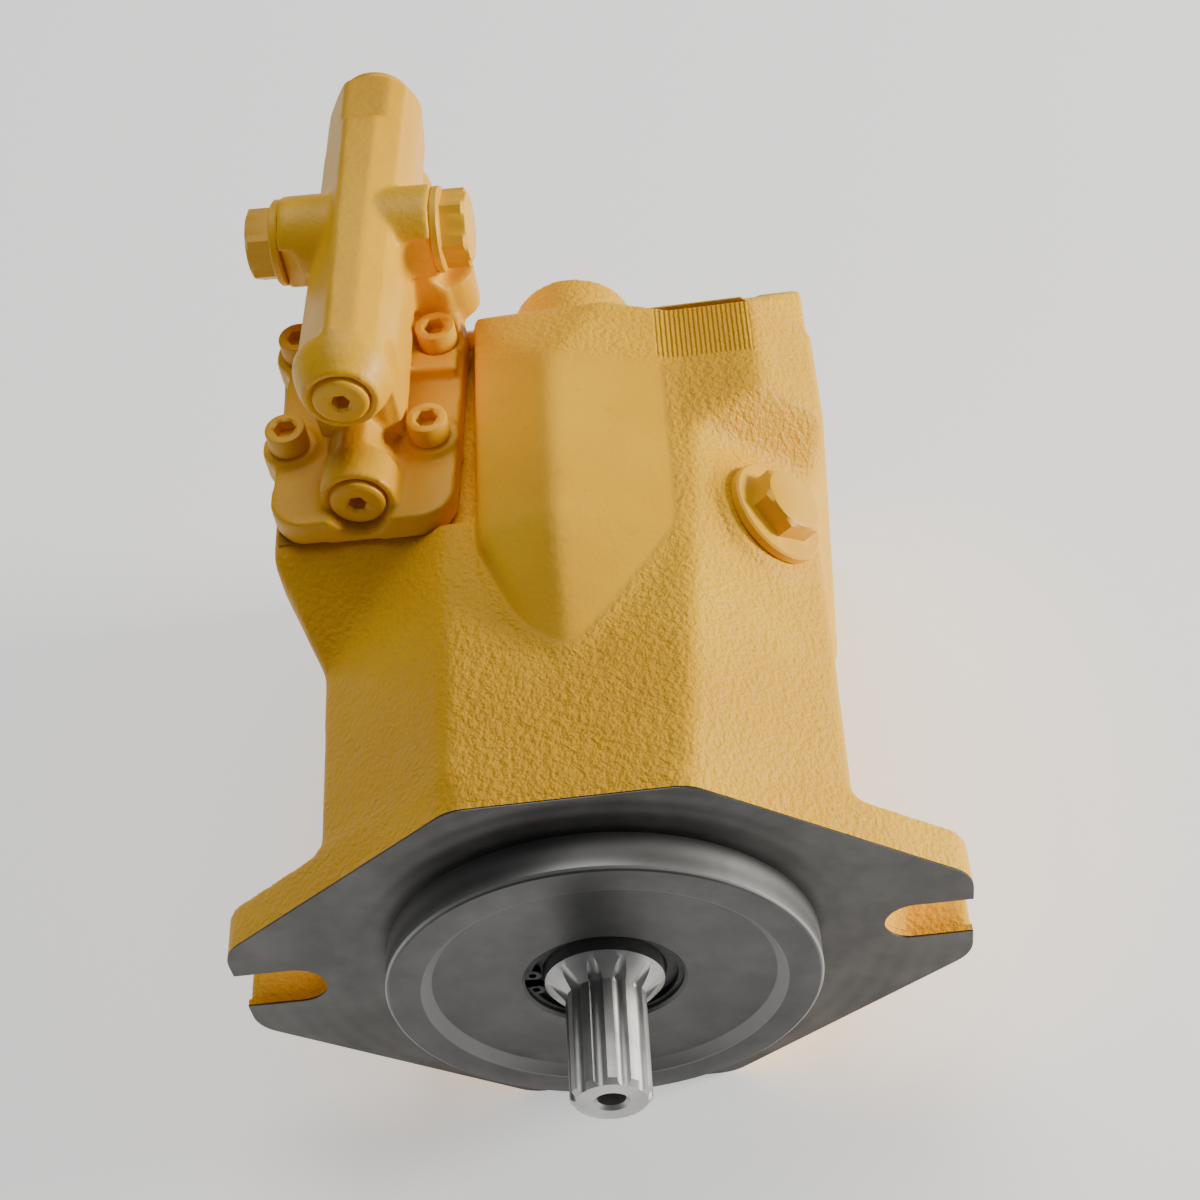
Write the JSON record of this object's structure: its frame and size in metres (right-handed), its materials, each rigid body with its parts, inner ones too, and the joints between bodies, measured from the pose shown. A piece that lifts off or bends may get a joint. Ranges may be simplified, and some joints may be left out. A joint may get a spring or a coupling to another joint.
{
  "type": "axial piston pump",
  "caption": "Variable swashplate axial piston pump with two-bolt flange, splined shaft, piston group and a pressure and flow regulator on top.",
  "frame": {"origin": "on the shaft axis, in the plane of the mounting face", "axes": "-Y along the shaft, out of the mounting side; +Y towards the ports; +Z towards the regulator; +X to the right seen from the shaft end with the regulator up"},
  "size_m": [0.1728, 0.2498, 0.169],
  "materials": {
    "painted_casting": "coarse sand-cast iron under satin yellow enamel",
    "painted_valve_body": "smoother casting under satin yellow enamel",
    "painted_fittings": "machined fittings under satin yellow enamel",
    "gasket_fibre": "matt fibre sheet",
    "seal_rubber": "matt black",
    "black_spring_steel": "phosphated",
    "machined_steel": "turned",
    "bearing_steel": "ground",
    "hardened_steel": "ground and hardened",
    "bearing_bronze": "machined",
    "spring_steel": "shot-peened wire",
    "ground_steel": "ground"
  },
  "bodies": {
    "casing": {"housing": "painted_casting", "end_cover": "painted_casting", "cover_gasket": "gasket_fibre", "cover_screws": "painted_fittings", "shaft_seal": "seal_rubber", "seal_retaining_ring": "black_spring_steel", "front_bearing_cup": "bearing_steel", "rear_bearing_cup": "bearing_steel", "cradle_bearing_left": "bearing_bronze", "cradle_bearing_right": "bearing_bronze", "valve_plate": "hardened_steel", "locating_pin": "bearing_steel", "regulator_body": "painted_valve_body", "regulator_gasket": "gasket_fibre", "regulator_screws": "painted_fittings", "pressure_spring": "spring_steel", "flow_spring": "spring_steel", "pressure_cap": "painted_fittings", "flow_cap": "painted_fittings", "front_plug_upper": "painted_fittings", "front_plug_lower": "painted_fittings", "side_plug_left": "painted_fittings", "side_plug_right": "painted_fittings", "drain_plug": "painted_fittings", "bias_spring": "spring_steel"},
    "shaft": {"drive_shaft": "machined_steel", "front_bearing_cone": "bearing_steel", "cylinder_block": "hardened_steel", "push_pins": "bearing_steel", "spring_seat": "spring_steel", "block_spring": "spring_steel", "block_clip": "spring_steel", "retainer_ball": "hardened_steel"},
    "front_roller_set": {"front_bearing_rollers": "bearing_steel"},
    "rear_needle_set": {"rear_bearing_needles": "bearing_steel"},
    "swash": {"swashplate": "hardened_steel"},
    "retainer": {"retainer_plate": "hardened_steel"},
    "control": {"control_piston": "ground_steel"},
    "bias": {"bias_piston": "ground_steel"},
    "pressure_valve": {"pressure_spool": "ground_steel"},
    "flow_valve": {"flow_spool": "ground_steel"},
    "stroke_stop": {"stroke_screw": "ground_steel"},
    "slipper_shoe_1": {"slipper_1": "bearing_bronze"},
    "piston_rod_1": {"piston_1": "ground_steel"},
    "slipper_shoe_2": {"slipper_2": "bearing_bronze"},
    "piston_rod_2": {"piston_2": "ground_steel"},
    "slipper_shoe_3": {"slipper_3": "bearing_bronze"},
    "piston_rod_3": {"piston_3": "ground_steel"},
    "slipper_shoe_4": {"slipper_4": "bearing_bronze"},
    "piston_rod_4": {"piston_4": "ground_steel"},
    "slipper_shoe_5": {"slipper_5": "bearing_bronze"},
    "piston_rod_5": {"piston_5": "ground_steel"},
    "slipper_shoe_6": {"slipper_6": "bearing_bronze"},
    "piston_rod_6": {"piston_6": "ground_steel"},
    "slipper_shoe_7": {"slipper_7": "bearing_bronze"},
    "piston_rod_7": {"piston_7": "ground_steel"},
    "slipper_shoe_8": {"slipper_8": "bearing_bronze"},
    "piston_rod_8": {"piston_8": "ground_steel"},
    "slipper_shoe_9": {"slipper_9": "bearing_bronze"},
    "piston_rod_9": {"piston_9": "ground_steel"}
  },
  "joints": [
    {"name": "shaft_spin", "type": "hinge", "parent": "casing", "child": "shaft", "pos_m": [0, 0, 0], "axis": [0, 1, 0], "continuous": true},
    {"name": "front_rollers_spin", "type": "hinge", "parent": "casing", "child": "front_roller_set", "pos_m": [0, 0.015, 0], "axis": [0, 1, 0], "continuous": true},
    {"name": "rear_needles_spin", "type": "hinge", "parent": "casing", "child": "rear_needle_set", "pos_m": [0, 0.159, 0], "axis": [0, 1, 0], "continuous": true},
    {"name": "swash_tilt", "type": "hinge", "parent": "casing", "child": "swash", "pos_m": [0, 0.07, 0], "axis": [-1, 0, 0], "range_deg": [0, 15]},
    {"name": "retainer_spin", "type": "hinge", "parent": "swash", "child": "retainer", "pos_m": [0, 0.07, 0], "axis": [0, 1, 0], "continuous": true},
    {"name": "control_slide", "type": "slide", "parent": "casing", "child": "control", "axis": [0, 1, 0], "range_m": [0, 0.0142]},
    {"name": "bias_slide", "type": "slide", "parent": "casing", "child": "bias", "axis": [0, -1, 0], "range_m": [0, 0.0142], "deforming": ["bias_spring"]},
    {"name": "pressure_spool_slide", "type": "slide", "parent": "casing", "child": "pressure_valve", "axis": [0.061, 0.9981, 0], "range_m": [0, 0.003], "stiffness_N_per_m": 8000, "deforming": ["pressure_spring"]},
    {"name": "flow_spool_slide", "type": "slide", "parent": "casing", "child": "flow_valve", "axis": [0.061, 0.9981, 0], "range_m": [0, 0.003], "stiffness_N_per_m": 5000, "deforming": ["flow_spring"]},
    {"name": "stroke_screw_feed", "type": "slide", "parent": "casing", "child": "stroke_stop", "axis": [0, -1, 0], "range_m": [0, 0.003]},
    {"name": "slipper_1_turn", "type": "hinge", "parent": "retainer", "child": "slipper_shoe_1", "pos_m": [0, 0.07, 0.0295], "axis": [0, 1, 0], "continuous": true},
    {"name": "piston_1_swivel", "type": "hinge", "parent": "slipper_shoe_1", "child": "piston_rod_1", "pos_m": [0, 0.07, 0.0295], "axis": [-1, 0, 0], "range_deg": [-15, 0]},
    {"name": "slipper_2_turn", "type": "hinge", "parent": "retainer", "child": "slipper_shoe_2", "pos_m": [-0.01896, 0.07, 0.0226], "axis": [0, 1, 0], "continuous": true},
    {"name": "piston_2_swivel", "type": "hinge", "parent": "slipper_shoe_2", "child": "piston_rod_2", "pos_m": [-0.01896, 0.07, 0.0226], "axis": [-1, 0, 0], "range_deg": [-15, 0]},
    {"name": "slipper_3_turn", "type": "hinge", "parent": "retainer", "child": "slipper_shoe_3", "pos_m": [-0.02905, 0.07, 0.00512], "axis": [0, 1, 0], "continuous": true},
    {"name": "piston_3_swivel", "type": "hinge", "parent": "slipper_shoe_3", "child": "piston_rod_3", "pos_m": [-0.02905, 0.07, 0.00512], "axis": [-1, 0, 0], "range_deg": [-15, 0]},
    {"name": "slipper_4_turn", "type": "hinge", "parent": "retainer", "child": "slipper_shoe_4", "pos_m": [-0.02555, 0.07, -0.01475], "axis": [0, 1, 0], "continuous": true},
    {"name": "piston_4_swivel", "type": "hinge", "parent": "slipper_shoe_4", "child": "piston_rod_4", "pos_m": [-0.02555, 0.07, -0.01475], "axis": [-1, 0, 0], "range_deg": [-15, 0]},
    {"name": "slipper_5_turn", "type": "hinge", "parent": "retainer", "child": "slipper_shoe_5", "pos_m": [-0.01009, 0.07, -0.02772], "axis": [0, 1, 0], "continuous": true},
    {"name": "piston_5_swivel", "type": "hinge", "parent": "slipper_shoe_5", "child": "piston_rod_5", "pos_m": [-0.01009, 0.07, -0.02772], "axis": [-1, 0, 0], "range_deg": [-15, 0]},
    {"name": "slipper_6_turn", "type": "hinge", "parent": "retainer", "child": "slipper_shoe_6", "pos_m": [0.01009, 0.07, -0.02772], "axis": [0, 1, 0], "continuous": true},
    {"name": "piston_6_swivel", "type": "hinge", "parent": "slipper_shoe_6", "child": "piston_rod_6", "pos_m": [0.01009, 0.07, -0.02772], "axis": [-1, 0, 0], "range_deg": [-15, 0]},
    {"name": "slipper_7_turn", "type": "hinge", "parent": "retainer", "child": "slipper_shoe_7", "pos_m": [0.02555, 0.07, -0.01475], "axis": [0, 1, 0], "continuous": true},
    {"name": "piston_7_swivel", "type": "hinge", "parent": "slipper_shoe_7", "child": "piston_rod_7", "pos_m": [0.02555, 0.07, -0.01475], "axis": [-1, 0, 0], "range_deg": [-15, 0]},
    {"name": "slipper_8_turn", "type": "hinge", "parent": "retainer", "child": "slipper_shoe_8", "pos_m": [0.02905, 0.07, 0.00512], "axis": [0, 1, 0], "continuous": true},
    {"name": "piston_8_swivel", "type": "hinge", "parent": "slipper_shoe_8", "child": "piston_rod_8", "pos_m": [0.02905, 0.07, 0.00512], "axis": [-1, 0, 0], "range_deg": [-15, 0]},
    {"name": "slipper_9_turn", "type": "hinge", "parent": "retainer", "child": "slipper_shoe_9", "pos_m": [0.01896, 0.07, 0.0226], "axis": [0, 1, 0], "continuous": true},
    {"name": "piston_9_swivel", "type": "hinge", "parent": "slipper_shoe_9", "child": "piston_rod_9", "pos_m": [0.01896, 0.07, 0.0226], "axis": [-1, 0, 0], "range_deg": [-15, 0]}
  ],
  "couplings": [
    {"joint": "front_rollers_spin", "follows": "shaft_spin", "ratio": 0.408},
    {"joint": "rear_needles_spin", "follows": "shaft_spin", "ratio": 0.4386},
    {"joint": "retainer_spin", "follows": "shaft_spin", "ratio": 1},
    {"joint": "control_slide", "follows": "swash_tilt", "m_per_rad": 0.054},
    {"joint": "bias_slide", "follows": "swash_tilt", "m_per_rad": 0.0518},
    {"joint": "slipper_1_turn", "follows": "shaft_spin", "ratio": -1},
    {"joint": "piston_1_swivel", "follows": "swash_tilt", "ratio": -1},
    {"joint": "slipper_2_turn", "follows": "shaft_spin", "ratio": -1},
    {"joint": "piston_2_swivel", "follows": "swash_tilt", "ratio": -1},
    {"joint": "slipper_3_turn", "follows": "shaft_spin", "ratio": -1},
    {"joint": "piston_3_swivel", "follows": "swash_tilt", "ratio": -1},
    {"joint": "slipper_4_turn", "follows": "shaft_spin", "ratio": -1},
    {"joint": "piston_4_swivel", "follows": "swash_tilt", "ratio": -1},
    {"joint": "slipper_5_turn", "follows": "shaft_spin", "ratio": -1},
    {"joint": "piston_5_swivel", "follows": "swash_tilt", "ratio": -1},
    {"joint": "slipper_6_turn", "follows": "shaft_spin", "ratio": -1},
    {"joint": "piston_6_swivel", "follows": "swash_tilt", "ratio": -1},
    {"joint": "slipper_7_turn", "follows": "shaft_spin", "ratio": -1},
    {"joint": "piston_7_swivel", "follows": "swash_tilt", "ratio": -1},
    {"joint": "slipper_8_turn", "follows": "shaft_spin", "ratio": -1},
    {"joint": "piston_8_swivel", "follows": "swash_tilt", "ratio": -1},
    {"joint": "slipper_9_turn", "follows": "shaft_spin", "ratio": -1},
    {"joint": "piston_9_swivel", "follows": "swash_tilt", "ratio": -1}
  ]
}
